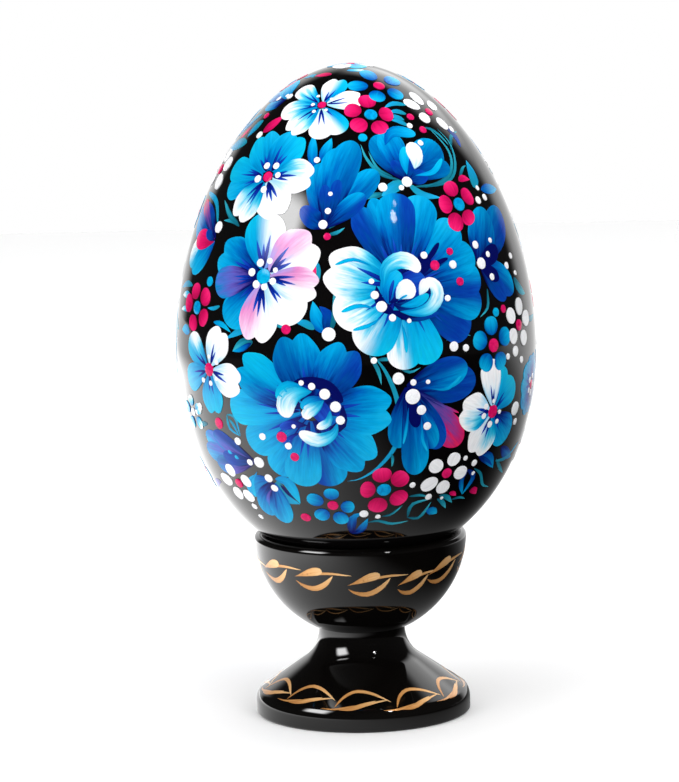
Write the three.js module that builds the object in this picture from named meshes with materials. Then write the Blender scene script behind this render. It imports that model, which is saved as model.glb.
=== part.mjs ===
// A painted wooden egg on a turned egg-cup stand: egg, cup and foot, all turned on a lathe.
// Millimetres, +Z up. The origin is the centre of the foot's flat underside.
import * as THREE from "three";

// The egg, standing on its blunt end.
const EGG_RADIUS = 39; // at its widest
const EGG_BOTTOM_Z = 32.8; // the blunt pole, inside the cup
const EGG_WIDEST_Z = 80.3;
const EGG_TOP_Z = 142; // the pointed pole
const EGG_UPPER_POWER = 1.89; // of the superellipse above the widest point: under 2 is slimmer
const EGG_LOWER_POWER = 2.06; // and below it: over 2 is fuller

// The cup: a hemisphere outside, with its centre in the plane of the rim.
const RIM_Z = 40;
const CUP_RADIUS = 23.3;
const LIP_ROUNDING = 1.3; // of the rim's outer edge
const SEAT_RADIUS = 20.9; // the rim's inner edge, which the egg rests on
const SEAT_CHAMFER = 0.5; // breaks that edge, so that it doesn't mark the egg
const HOLLOW_DEPTH = 14.3; // below the chamfer
const CUP_BASE_Z = 19.2; // the flat shoulder under the bowl

// The spigot turned on the cup, and its socket in the foot.
const SPIGOT_RADIUS = 5;
const SPIGOT_LENGTH = 11;
const GLUE_GAP = 0.3;

// The foot: a neck that flares into a broad disc.
const NECK_RADIUS = 9.4;
const FLARE_RADIUS = 8; // of the cove below the neck
const CONE_ANGLE = THREE.MathUtils.degToRad(54.8); // of the straight flare, from the vertical
const FOOT_RADIUS = 23.5;
const SHOULDER_RADIUS = 4; // rounds the flare into the disc's edge
const EDGE_TOP_Z = 2.6; // the upright band round the disc ends here
const BASE_ROUNDING = 0.6;

const ROUND_SEGMENTS = 64;
const EGG_RINGS = 16; // in each half
const CURVE_STEPS = 8;

const TOP = Math.PI / 2;

// Points of a circle's arc in the profile plane: x is the radius and y the height.
function arc(centreX, centreY, radius, from, to, steps = CURVE_STEPS) {
  return Array.from({ length: steps + 1 }, (_, i) => {
    const angle = from + ((to - from) * i) / steps;
    return new THREE.Vector2(
      centreX + radius * Math.cos(angle),
      centreY + radius * Math.sin(angle),
    );
  });
}

// A quarter of a superellipse, from the widest point to a pole height above it (or below, if negative).
function quarterEgg(height, power, steps) {
  return Array.from({ length: steps + 1 }, (_, i) => {
    const angle = (TOP * i) / steps;
    return new THREE.Vector2(
      EGG_RADIUS * Math.max(Math.cos(angle), 0) ** (2 / power),
      EGG_WIDEST_Z + height * Math.sin(angle) ** (2 / power),
    );
  });
}

function onAxis(height) {
  return new THREE.Vector2(0, height);
}

function eggProfile() {
  const lower = quarterEgg(EGG_BOTTOM_Z - EGG_WIDEST_Z, EGG_LOWER_POWER, EGG_RINGS);
  const upper = quarterEgg(EGG_TOP_Z - EGG_WIDEST_Z, EGG_UPPER_POWER, EGG_RINGS);
  const sides = [...lower.slice(0, -1).reverse(), ...upper.slice(1, -1)];
  return [onAxis(EGG_BOTTOM_Z), ...sides, onAxis(EGG_TOP_Z)];
}

function cupProfile() {
  const spigotEndZ = CUP_BASE_Z - SPIGOT_LENGTH;
  const baseAngle = Math.asin((CUP_BASE_Z - RIM_Z) / CUP_RADIUS);
  const lipCentreX = Math.sqrt((CUP_RADIUS - LIP_ROUNDING) ** 2 - LIP_ROUNDING ** 2);
  const lipCentreZ = RIM_Z - LIP_ROUNDING;
  const lipAngle = Math.atan2(-LIP_ROUNDING, lipCentreX);
  const hollowTopZ = RIM_Z - SEAT_CHAMFER;
  const hollow = Array.from({ length: CURVE_STEPS }, (_, i) => {
    const angle = (TOP * i) / CURVE_STEPS;
    return new THREE.Vector2(
      SEAT_RADIUS * Math.cos(angle),
      hollowTopZ - HOLLOW_DEPTH * Math.sin(angle),
    );
  });
  return [
    onAxis(spigotEndZ),
    new THREE.Vector2(SPIGOT_RADIUS, spigotEndZ),
    new THREE.Vector2(SPIGOT_RADIUS, CUP_BASE_Z),
    ...arc(0, RIM_Z, CUP_RADIUS, baseAngle, lipAngle),
    ...arc(lipCentreX, lipCentreZ, LIP_ROUNDING, lipAngle, TOP, 4).slice(1),
    new THREE.Vector2(SEAT_RADIUS + SEAT_CHAMFER, RIM_Z),
    ...hollow,
    onAxis(hollowTopZ - HOLLOW_DEPTH),
  ];
}

function footProfile() {
  const neckTopZ = CUP_BASE_Z - GLUE_GAP;
  const socketRadius = SPIGOT_RADIUS + GLUE_GAP;
  const socketFloorZ = CUP_BASE_Z - SPIGOT_LENGTH - GLUE_GAP;
  const shoulder = arc(FOOT_RADIUS - SHOULDER_RADIUS, EDGE_TOP_Z, SHOULDER_RADIUS, 0, TOP - CONE_ANGLE, 4);
  // The cone runs from the shoulder up to the cove, which is tangent to it and to the upright neck.
  const shoulderEnd = shoulder[shoulder.length - 1];
  const coveEndX = NECK_RADIUS + FLARE_RADIUS * (1 - Math.cos(CONE_ANGLE));
  const coveEndZ = shoulderEnd.y + (shoulderEnd.x - coveEndX) / Math.tan(CONE_ANGLE);
  const coveCentreZ = coveEndZ + FLARE_RADIUS * Math.sin(CONE_ANGLE);
  const cove = arc(NECK_RADIUS + FLARE_RADIUS, coveCentreZ, FLARE_RADIUS, Math.PI + CONE_ANGLE, Math.PI, 6);
  const base = arc(FOOT_RADIUS - BASE_ROUNDING, BASE_ROUNDING, BASE_ROUNDING, -TOP, 0, 3);
  return [
    onAxis(0),
    ...base,
    ...shoulder,
    ...cove,
    new THREE.Vector2(NECK_RADIUS, neckTopZ),
    new THREE.Vector2(socketRadius, neckTopZ),
    new THREE.Vector2(socketRadius, socketFloorZ),
    onAxis(socketFloorZ),
  ];
}

// A solid of revolution about +Z from a profile that starts and ends on the axis.
function turned(name, profile, material) {
  const geometry = new THREE.LatheGeometry(profile, ROUND_SEGMENTS);
  geometry.rotateX(TOP);
  const mesh = new THREE.Mesh(geometry, material);
  mesh.name = name;
  return mesh;
}

function lacquer(colour) {
  return new THREE.MeshStandardMaterial({ color: colour, roughness: 0.08, metalness: 0 });
}

const eggOnStand = new THREE.Group();
eggOnStand.add(
  turned("egg", eggProfile(), lacquer(0x060608)),
  turned("cup", cupProfile(), lacquer(0x0a0908)),
  turned("foot", footProfile(), lacquer(0x0a0908)),
);

export default eggOnStand;
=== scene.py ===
"""A painted wooden egg on a turned egg-cup stand: black lacquer, blue and white brushed flowers, gold leaves.

Sizes are in millimetres until a mesh is made; the table, the lights and the room are in metres. A spot on a
turned surface is (azimuth, height): the azimuth, in degrees, is 0 towards the camera and grows towards its
right, and the height is above the table.
"""

import math
import random

import bpy
import numpy as np
from mathutils import Matrix, Vector


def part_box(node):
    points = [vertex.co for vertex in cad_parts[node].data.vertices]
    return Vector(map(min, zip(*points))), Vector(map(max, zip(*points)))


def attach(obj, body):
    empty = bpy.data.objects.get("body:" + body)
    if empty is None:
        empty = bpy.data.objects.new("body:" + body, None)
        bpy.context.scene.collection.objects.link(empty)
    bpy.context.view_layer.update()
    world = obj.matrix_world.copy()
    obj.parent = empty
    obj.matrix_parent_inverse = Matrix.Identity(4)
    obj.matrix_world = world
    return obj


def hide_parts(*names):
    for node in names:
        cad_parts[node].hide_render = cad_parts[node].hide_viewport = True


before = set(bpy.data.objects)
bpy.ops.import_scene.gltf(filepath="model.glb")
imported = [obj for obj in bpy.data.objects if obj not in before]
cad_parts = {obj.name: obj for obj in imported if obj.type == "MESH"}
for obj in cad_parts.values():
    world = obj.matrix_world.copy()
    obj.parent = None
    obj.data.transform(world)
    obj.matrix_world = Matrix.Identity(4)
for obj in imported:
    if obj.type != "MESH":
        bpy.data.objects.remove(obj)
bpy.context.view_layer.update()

MM = 0.001
AROUND = 288  # steps round a turned surface
CREASE_ANGLE = 40  # degrees; faces that meet at more are not shaded as one surface
ON_AXIS = 1e-6  # a point nearer the axis than this lies on it

# ---------------------------------------------------------------- node trees


def feed(tree, node, inputs):
    """Set a node's inputs, by name or by place: each is a value, or another node's output to join."""
    for name, value in inputs.items():
        if isinstance(value, bpy.types.NodeSocket):
            tree.links.new(value, node.inputs[name])
        else:
            node.inputs[name].default_value = value
    return node


def add_node(tree, kind, inputs=None, **settings):
    node = tree.nodes.new("ShaderNode" + kind)
    for name, value in settings.items():
        setattr(node, name, value)
    return feed(tree, node, inputs or {})


def ramp(tree, value, start, end, low=0.0, high=1.0, smooth=True):
    """A result that goes from low to high while the value goes from start to end."""
    inputs = {"Value": value, "From Min": start, "From Max": end, "To Min": low, "To Max": high}
    kind = "SMOOTHSTEP" if smooth else "LINEAR"
    return add_node(tree, "MapRange", inputs, interpolation_type=kind).outputs["Result"]


def noise(tree, place, scale, detail, **inputs):
    inputs = {"Vector": place, "Scale": scale, "Detail": detail, **inputs}
    return add_node(tree, "TexNoise", inputs).outputs["Fac"]


def seen_and_mirrored(tree, seen, mirrored):
    """The camera sees one shader; every other ray meets the other."""
    rays = add_node(tree, "LightPath")
    mix = add_node(tree, "MixShader", {0: rays.outputs["Is Camera Ray"], 1: mirrored, 2: seen})
    return mix.outputs[0]


def new_material(name):
    material = bpy.data.materials.new(name)
    material.use_nodes = True
    return material, material.node_tree, material.node_tree.nodes["Principled BSDF"]


# ---------------------------------------------------------------- camera, floor and light

FRAME_HEIGHT = 782  # of the picture, in its own units
FOCAL_LENGTH = 4189  # in the same units
SENSOR = 36  # mm
CAMERA_DISTANCE = 900
CAMERA_HEIGHT = 213.35
CAMERA_PITCH = 9.0  # degrees down
CAMERA_YAW = 0.245  # degrees to the left, which sets the object right of the middle
CAMERA_ROLL = -1.2
FLOOR_SIZE = 0.9  # from the middle to a side
PAINTED_LIGHT_SPOT = (-0.1, 0.15, 0)  # the middle of a pool of light painted as glow on the table
PANEL_AIM = 0.09  # the height on the axis that every panel faces
PANEL_FADE = 0.3  # how far in from each edge a panel's light fades out, as a share of its size


def add_camera():
    data = bpy.data.cameras.new("camera")
    data.sensor_width = SENSOR
    data.lens = SENSOR * FOCAL_LENGTH / FRAME_HEIGHT
    data.clip_start = 0.05
    camera = bpy.data.objects.new("camera", data)
    turn = (
        Matrix.Rotation(math.radians(CAMERA_YAW), 4, "Z")
        @ Matrix.Rotation(math.radians(90 - CAMERA_PITCH), 4, "X")
        @ Matrix.Rotation(math.radians(CAMERA_ROLL), 4, "Z")
    )
    place = Matrix.Translation(Vector((0, -CAMERA_DISTANCE, CAMERA_HEIGHT)) * MM)
    camera.matrix_world = place @ turn
    bpy.context.scene.collection.objects.link(camera)
    bpy.context.scene.camera = camera


def add_floor():
    """The camera sees a plain pale table; reflections see it glow with painted light, at one spot, left and
    behind.
    """
    mesh = bpy.data.meshes.new("floor")
    corners = [(x * FLOOR_SIZE, y * FLOOR_SIZE, 0) for x, y in ((-1, -1), (1, -1), (1, 1), (-1, 1))]
    mesh.from_pydata(corners, [], [(0, 1, 2, 3)])
    floor = bpy.data.objects.new("floor", mesh)
    bpy.context.scene.collection.objects.link(floor)
    material, tree, shader = new_material("pale_table")
    feed(tree, shader, {"Base Color": (0.9, 0.9, 0.9, 1), "Roughness": 0.9})
    place = add_node(tree, "TexCoord").outputs["Object"]
    across = add_node(tree, "SeparateXYZ", {0: place}).outputs
    from_spot = add_node(tree, "VectorMath", {0: place, 1: PAINTED_LIGHT_SPOT}, operation="DISTANCE")
    # Painted light: for reflections the table glows, brightest on the left, in a pool about the spot and far
    # behind.
    left = ramp(tree, across["X"], -0.15, 0.07, 2.6, 0.0)
    near = ramp(tree, from_spot.outputs["Value"], 0.2, 0.45, 1.0, 0.04)
    behind = ramp(tree, across["Y"], 0.0, 0.4, 0.0, 1.3)
    total = add_node(tree, "Math", {0: left, 1: near, 2: behind}, operation="MULTIPLY_ADD")
    glow = add_node(tree, "Emission", {"Strength": total.outputs[0]})
    surface = seen_and_mirrored(tree, shader.outputs[0], glow.outputs[0])
    feed(tree, tree.nodes["Material Output"], {"Surface": surface})
    mesh.materials.append(material)


def add_room():
    """The camera sees plain white; the object mirrors a room that is bright behind it and dim in front."""
    world = bpy.data.worlds.new("room")
    bpy.context.scene.world = world
    world.use_nodes = True
    tree = world.node_tree
    tree.nodes.clear()
    direction = add_node(tree, "TexCoord").outputs["Generated"]
    along = add_node(tree, "SeparateXYZ", {0: direction}).outputs
    # The wall behind is a little wider on the right than on the left, and dimmer higher up.
    lean = add_node(tree, "Math", {0: along["X"], 1: 0.08, 2: along["Y"]}, operation="MULTIPLY_ADD")
    wall = ramp(tree, lean.outputs[0], 0.7, 0.87, 0.05, 1.5)
    height = ramp(tree, along["Z"], 0.2, 0.8, 1.0, 0.5)
    total = add_node(tree, "Math", {0: wall, 1: height}, operation="MULTIPLY")
    room = add_node(tree, "Background", {"Strength": total.outputs[0]})
    backdrop = add_node(tree, "Background", {"Color": (1, 1, 1, 1)})
    surface = seen_and_mirrored(tree, backdrop.outputs[0], room.outputs[0])
    add_node(tree, "OutputWorld", {"Surface": surface})


def add_panel(name, azimuth, elevation, distance, size, radiance, glossy=True, diffuse=True, disc=False):
    """A softbox that faces the axis; its brightness is given as radiance."""
    data = bpy.data.lights.new(name, "AREA")
    data.shape = "ELLIPSE" if disc else "RECTANGLE"
    data.size, data.size_y = size
    area = size[0] * size[1] * (math.pi / 4 if disc else 1)
    data.energy = radiance * area * math.pi
    panel = bpy.data.objects.new(name, data)
    turn, rise = math.radians(azimuth), math.radians(elevation)
    towards = Vector((math.cos(rise) * math.sin(turn), -math.cos(rise) * math.cos(turn), math.sin(rise)))
    panel.location = Vector((0, 0, PANEL_AIM)) + towards * distance
    panel.rotation_euler = towards.to_track_quat("Z", "Y").to_euler()
    panel.visible_glossy = glossy
    panel.visible_diffuse = diffuse
    panel.visible_camera = False
    bpy.context.scene.collection.objects.link(panel)
    if not disc:
        soften_panel(data)


def soften_panel(data):
    """The panel's light fades out towards its edges."""
    data.use_nodes = True
    tree = data.node_tree
    place = add_node(tree, "NewGeometry").outputs["Parametric"]
    across = add_node(tree, "SeparateXYZ", {0: place}).outputs
    fades = []
    for axis in ("X", "Y"):
        from_edge = add_node(tree, "Math", {0: across[axis], 1: 0.5}, operation="PINGPONG")
        fades.append(ramp(tree, from_edge.outputs[0], 0, PANEL_FADE))
    product = add_node(tree, "Math", dict(enumerate(fades)), operation="MULTIPLY")
    feed(tree, tree.nodes["Emission"], {"Strength": product.outputs[0]})


add_camera()
add_floor()
add_room()
add_panel("softbox", -57.5, 31.5, 1.0, (0.6, 0.5), 17.0, diffuse=False)
add_panel("lamp", 33, 36.6, 1.0, (0.07, 0.07), 60.0, diffuse=False, disc=True)
add_panel("small_lamp", 36.8, 40.6, 1.0, (0.04, 0.04), 30.0, diffuse=False, disc=True)
add_panel("key_fill", -50, 35, 1.2, (1.0, 1.0), 2.6, glossy=False)
add_panel("front_fill", 35, 20, 1.4, (1.2, 1.2), 3.5, glossy=False)
add_panel("back_softbox", 155, 36, 1.0, (0.95, 0.75), 2.1, diffuse=False)
add_panel("low_fill", 15, 4, 1.0, (1.2, 0.3), 5.6, glossy=False)
add_panel("ceiling", 0, 90, 1.6, (5.0, 5.0), 1.9, glossy=False)
bpy.context.scene.view_settings.view_transform = "Standard"

# ---------------------------------------------------------------- the turned shapes

egg_low, egg_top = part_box("egg")
cup_low, cup_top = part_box("cup")
_, foot_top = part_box("foot")

EGG_RADIUS = egg_top.x / MM
EGG_BOTTOM_Z = egg_low.z / MM
EGG_TOP_Z = egg_top.z / MM
EGG_WIDEST_Z = 80.3
EGG_UPPER_POWER = 1.89  # of the superellipse above the widest point
EGG_LOWER_POWER = 2.06  # and below it
EGG_STEPS = 320  # from pole to pole

RIM_Z = cup_top.z / MM
CUP_RADIUS = cup_top.x / MM
LIP_ROUNDING = 1.3
SEAT_RADIUS = 20.9
SEAT_CHAMFER = 0.5
HOLLOW_DEPTH = 14.3
CUP_BASE_Z = 19.2
SPIGOT_RADIUS = 5

NECK_RADIUS = 9.4
NECK_TOP_Z = foot_top.z / MM
SOCKET_RADIUS = 5.3
FLARE_RADIUS = 8
CONE_ANGLE = math.radians(54.8)
FOOT_RADIUS = foot_top.x / MM
SHOULDER_RADIUS = 4
EDGE_TOP_Z = 2.6
BASE_ROUNDING = 0.6


def arc(centre, radius, start, end, steps=24):
    """Points (radius, height) of an arc in the profile plane; the angles are in degrees."""
    angles = np.radians(np.linspace(start, end, steps + 1))
    return [(centre[0] + radius * math.cos(a), centre[1] + radius * math.sin(a)) for a in angles]


def egg_outline():
    """From the blunt pole at the bottom up to the pointed one."""
    outline = []
    for angle in np.linspace(-math.pi / 2, math.pi / 2, EGG_STEPS + 1):
        above = angle > 0
        power = EGG_UPPER_POWER if above else EGG_LOWER_POWER
        height = EGG_TOP_Z - EGG_WIDEST_Z if above else EGG_BOTTOM_Z - EGG_WIDEST_Z
        radius = EGG_RADIUS * max(math.cos(angle), 0) ** (2 / power)
        outline.append((radius, EGG_WIDEST_Z + height * abs(math.sin(angle)) ** (2 / power)))
    return outline


def bowl_outline():
    """The outside of the cup, from the crease up to the lip's rounding."""
    lowest = math.degrees(math.asin((CUP_BASE_Z - RIM_Z) / CUP_RADIUS))
    highest = math.degrees(-LIP_ROUNDING / CUP_RADIUS)
    return arc((0, RIM_Z), CUP_RADIUS, lowest, highest, 72)


def cup_outline():
    lip_radius = math.sqrt((CUP_RADIUS - LIP_ROUNDING) ** 2 - LIP_ROUNDING**2)
    lip_z = RIM_Z - LIP_ROUNDING
    floor_top = RIM_Z - SEAT_CHAMFER
    hollow = [
        (SEAT_RADIUS * math.cos(a), floor_top - HOLLOW_DEPTH * math.sin(a))
        for a in np.linspace(0, math.pi / 2, 41)
    ]
    spigot_end = cup_low.z / MM
    return [
        (0, spigot_end),
        (SPIGOT_RADIUS, spigot_end),
        (SPIGOT_RADIUS, CUP_BASE_Z),
        *bowl_outline(),
        *arc((lip_radius, lip_z), LIP_ROUNDING, -3, 90, 14)[1:],
        (SEAT_RADIUS + SEAT_CHAMFER, RIM_Z),
        *hollow,
    ]


def flare_outline():
    """The foot's visible side, from the disc's edge up over the shoulder and the cone to the neck."""
    cone = math.degrees(CONE_ANGLE)
    shoulder = arc((FOOT_RADIUS - SHOULDER_RADIUS, EDGE_TOP_Z), SHOULDER_RADIUS, 0, 90 - cone, 16)
    cove_end = NECK_RADIUS + FLARE_RADIUS * (1 - math.cos(CONE_ANGLE))
    cove_end_z = shoulder[-1][1] + (shoulder[-1][0] - cove_end) / math.tan(CONE_ANGLE)
    cove_z = cove_end_z + FLARE_RADIUS * math.sin(CONE_ANGLE)
    cove = arc((NECK_RADIUS + FLARE_RADIUS, cove_z), FLARE_RADIUS, 180 + cone, 180, 24)
    cone_line = np.linspace(shoulder[-1], cove[0], 30)[1:-1]
    return [*shoulder, *(tuple(point) for point in cone_line), *cove]


def foot_outline():
    base = arc((FOOT_RADIUS - BASE_ROUNDING, BASE_ROUNDING), BASE_ROUNDING, -90, 0, 8)
    socket_floor = cup_low.z / MM - 0.3
    return [
        (0, 0),
        *base,
        *flare_outline(),
        (NECK_RADIUS, NECK_TOP_Z),
        (SOCKET_RADIUS, NECK_TOP_Z),
        (SOCKET_RADIUS, socket_floor),
        (0, socket_floor),
    ]


def turn_solid(name, outline, material):
    """A closed solid of revolution; the outline's ends lie on the axis."""
    vertices, faces = [], []
    inner = [point for point in outline if point[0] > ON_AXIS]
    for radius, height in inner:
        for step in range(AROUND):
            angle = 2 * math.pi * step / AROUND
            vertices.append((radius * math.cos(angle), radius * math.sin(angle), height))
    for row in range(len(inner) - 1):
        for step in range(AROUND):
            after = (step + 1) % AROUND
            a, b = row * AROUND + step, row * AROUND + after
            faces.append((a, b, b + AROUND, a + AROUND))
    for row, height in ((0, outline[0][1]), (len(inner) - 1, outline[-1][1])):
        pole = len(vertices)
        vertices.append((0, 0, height))
        for step in range(AROUND):
            after = (step + 1) % AROUND
            a, b = row * AROUND + step, row * AROUND + after
            faces.append((pole, b, a) if row == 0 else (pole, a, b))
    return make_piece(name, np.array(vertices), faces, material)


def make_piece(name, vertices, faces, material):
    mesh = bpy.data.meshes.new(name)
    mesh.from_pydata((vertices * MM).tolist(), [], faces)
    mesh.validate()
    mesh.shade_smooth()
    mesh.set_sharp_from_angle(angle=math.radians(CREASE_ANGLE))
    mesh.materials.append(material)
    piece = bpy.data.objects.new(name, mesh)
    bpy.context.scene.collection.objects.link(piece)
    return piece


# ---------------------------------------------------------------- materials


def black_lacquer(name, colour, warm):
    """Polished black: faint clouding in the colour, and a polish that is a little uneven."""
    material, tree, shader = new_material(name)
    place = add_node(tree, "TexCoord").outputs["Object"]
    cloud = noise(tree, place, 60, 4)
    tone = add_node(tree, "Mix", {"A": (*colour, 1), "B": (*warm, 1), "Factor": cloud}, data_type="RGBA")
    ripple = noise(tree, place, 140, 2)
    bump = add_node(tree, "Bump", {"Strength": 0.5, "Distance": 0.00002, "Height": ripple})
    look = {
        "Base Color": tone.outputs["Result"],
        "Roughness": ramp(tree, cloud, 0, 1, 0.03, 0.07, smooth=False),
        "Normal": bump.outputs["Normal"],
    }
    feed(tree, shader, look)
    return material


def brushed_paint(name, streaks_per_mm=1.1, roughness=0.3, specular=0.0, metallic=0.0):
    """Enamel under clear lacquer: each stroke's two tones mix in streaks that run along the brush."""
    material, tree, shader = new_material(name)
    behind, ahead, brush = (
        add_node(tree, "Attribute", attribute_name=attribute)
        for attribute in ("tone_behind", "tone_ahead", "brush")
    )
    stretch = (streaks_per_mm, 0.12, 1)
    stretched = add_node(tree, "VectorMath", {0: brush.outputs["Vector"], 1: stretch}, operation="MULTIPLY")
    lanes = stretched.outputs[0]
    streaks = ramp(tree, noise(tree, lanes, 1, 3, Roughness=0.6), 0.32, 0.68)
    tones = {"Factor": streaks, "A": behind.outputs["Color"], "B": ahead.outputs["Color"]}
    mix = add_node(tree, "Mix", tones, data_type="RGBA")
    hairs = ramp(tree, noise(tree, lanes, 2.7, 2), 0.25, 0.75, 0.9, 1.08, smooth=False)
    tone = add_node(tree, "VectorMath", {0: mix.outputs["Result"], "Scale": hairs}, operation="SCALE")
    look = {
        "Base Color": tone.outputs[0],
        "Roughness": roughness,
        "Metallic": metallic,
        "Coat Weight": 1.0,
        "Coat IOR": 1.2,
        "Coat Roughness": 0.04,
        "Specular IOR Level": specular,
    }
    feed(tree, shader, look)
    return material


egg_lacquer = black_lacquer("egg_lacquer", (0.0012, 0.0012, 0.0016), (0.0028, 0.0022, 0.0020))
stand_lacquer = black_lacquer("stand_lacquer", (0.0012, 0.0011, 0.0011), (0.0030, 0.0024, 0.0020))
enamel = brushed_paint("brushed_enamel")
gilding = brushed_paint("gold_paint", streaks_per_mm=3.0, roughness=0.35, specular=0.3, metallic=0.3)

# ---------------------------------------------------------------- colours

NAVY = "#050c58"
INDIGO = "#06349a"
COBALT = "#0050aa"
AZURE = "#0082c2"
SKY = "#04a2da"
CYAN = "#0cbce2"
WHITE = "#f6f7fa"
PINK = "#de80c0"
LILAC = "#a994d8"
VIOLET = "#6450b0"
CRIMSON = "#dc1262"
TEAL = "#1a8ca5"
DARK_TEAL = "#0f5a6e"

# A paint is a run of colours along the stroke, from its start (0) to its tip (1).
PAINTS = {
    "deep": ((0, NAVY), (0.35, "#004590"), (0.7, INDIGO), (1, "#084cac")),
    "cobalt": ((0, NAVY), (0.3, "#004290"), (0.7, "#005da6"), (1, "#0076b4")),
    "azure": ((0, NAVY), (0.35, COBALT), (0.7, AZURE), (1, SKY)),
    "sky": ((0, COBALT), (0.35, AZURE), (0.7, SKY), (1, "#18b0e0")),
    "cyan": ((0, AZURE), (0.4, SKY), (1, CYAN)),
    "ice": ((0, AZURE), (0.3, "#14b4dc"), (0.5, "#5accec"), (0.7, "#e4f5fc"), (0.8, WHITE), (1, WHITE)),
    "white": ((0, "#9fd2ee"), (0.25, "#dceef8"), (0.5, WHITE), (1, WHITE)),
    "pearl": ((0, "#5f86d8"), (0.3, "#c8dcf6"), (0.6, WHITE), (1, WHITE)),
    "pink": ((0, LILAC), (0.35, PINK), (0.75, "#ecaeda"), (1, "#f8e2f2")),
    "rose": ((0, VIOLET), (0.3, PINK), (0.6, "#fbdcf0"), (1, WHITE)),
    "violet": ((0, NAVY), (0.35, VIOLET), (0.8, "#4a70cc"), (1, AZURE)),
    "plum": ((0, NAVY), (0.35, "#40489c"), (0.65, "#80409a"), (0.85, "#d01a64"), (1, "#e0285a")),
    "crimson": ((0, "#b00c4c"), (0.5, CRIMSON), (1, "#ea2c74")),
    "teal": ((0, DARK_TEAL), (0.5, TEAL), (1, "#3cb0c4")),
    "sea": ((0, TEAL), (0.5, "#1290c0"), (1, "#20a8d8")),
    "navy": ((0, NAVY), (1, NAVY)),
    "vein": ((0, NAVY), (0.5, "#0a2a9c"), (1, "#1858c4")),
    "snow": ((0, WHITE), (1, WHITE)),
    "gold": ((0, "#b87c40"), (0.5, "#dca262"), (1, "#f0c48c")),
}


def channels_of(colour):
    """The sRGB channels, from 0 to 1, of a colour such as #ff8000."""
    return np.array([int(colour[i : i + 2], 16) / 255 for i in (1, 3, 5)])


def to_linear(channels):
    return np.where(channels <= 0.04045, channels / 12.92, ((channels + 0.055) / 1.055) ** 2.4)


def tint(paint, share):
    """The paint's colour at each share of the stroke."""
    stops = PAINTS[paint]
    places = [stop[0] for stop in stops]
    shades = np.array([channels_of(stop[1]) for stop in stops])
    mixed = np.stack([np.interp(share, places, shades[:, k]) for k in range(3)], axis=-1)
    return to_linear(mixed)


# ---------------------------------------------------------------- painting on a turned surface


class Turned:
    """A band of a turned surface to paint on; its outline climbs from bottom to top."""

    def __init__(self, outline):
        self.outline = np.array(outline)
        along = np.gradient(self.outline, axis=0)
        self.along = along / np.linalg.norm(along, axis=1, keepdims=True)

    def at(self, spot):
        azimuth, height = spot
        radius = np.interp(height, self.outline[:, 1], self.outline[:, 0])
        turn = math.radians(azimuth)
        return np.array([radius * math.sin(turn), -radius * math.cos(turn), height])

    def settle(self, points):
        """The nearest points on the surface, and its normals there."""
        reach = np.maximum(np.hypot(points[..., 0], points[..., 1]), 1e-6)
        flat = np.stack([reach, points[..., 2]], axis=-1)
        nearest = np.linalg.norm(flat[..., None, :] - self.outline, axis=-1).argmin(axis=-1)
        foot, along = self.outline[nearest], self.along[nearest]
        foot = foot + along * np.sum((flat - foot) * along, axis=-1, keepdims=True)
        spoke = points[..., :2] / reach[..., None]
        on = np.concatenate([spoke * foot[..., :1], foot[..., 1:]], axis=-1)
        normal = np.concatenate([spoke * along[..., 1:], -along[..., :1]], axis=-1)
        return on, normal


def across_brush(count):
    """Places from the left edge (-1) to the right one (1), closer together near the edges."""
    return np.sin(np.linspace(-math.pi / 2, math.pi / 2, count))


class Trail:
    """A smooth line on a surface, and the sideways direction along it."""

    STEPS = 12

    def __init__(self, surface, points):
        padded = np.vstack([2 * points[0] - points[1], points, 2 * points[-1] - points[-2]])
        t = np.linspace(0, 1, self.STEPS, endpoint=False)[:, None]
        line = []
        for a, b, c, d in zip(padded, padded[1:], padded[2:], padded[3:]):
            bend = (2 * a - 5 * b + 4 * c - d) * t**2 + (3 * b - a - 3 * c + d) * t**3
            line.append(0.5 * (2 * b + (c - a) * t + bend))
        self.line, normal = surface.settle(np.vstack([*line, points[-1:]]))
        steps = np.linalg.norm(np.diff(self.line, axis=0), axis=1)
        self.length = steps.sum()
        self.share = np.concatenate([[0], np.cumsum(steps)]) / self.length
        forward = np.gradient(self.line, axis=0)
        right = np.cross(forward, normal)
        self.right = right / np.linalg.norm(right, axis=1, keepdims=True)

    def point(self, share, aside):
        """Points at a share of the length and a distance to the right."""
        on, right = (
            np.stack([np.interp(share, self.share, rows[:, k]) for k in range(3)], axis=-1)
            for rows in (self.line, self.right)
        )
        return on + right * np.asarray(aside)[..., None]


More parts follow.
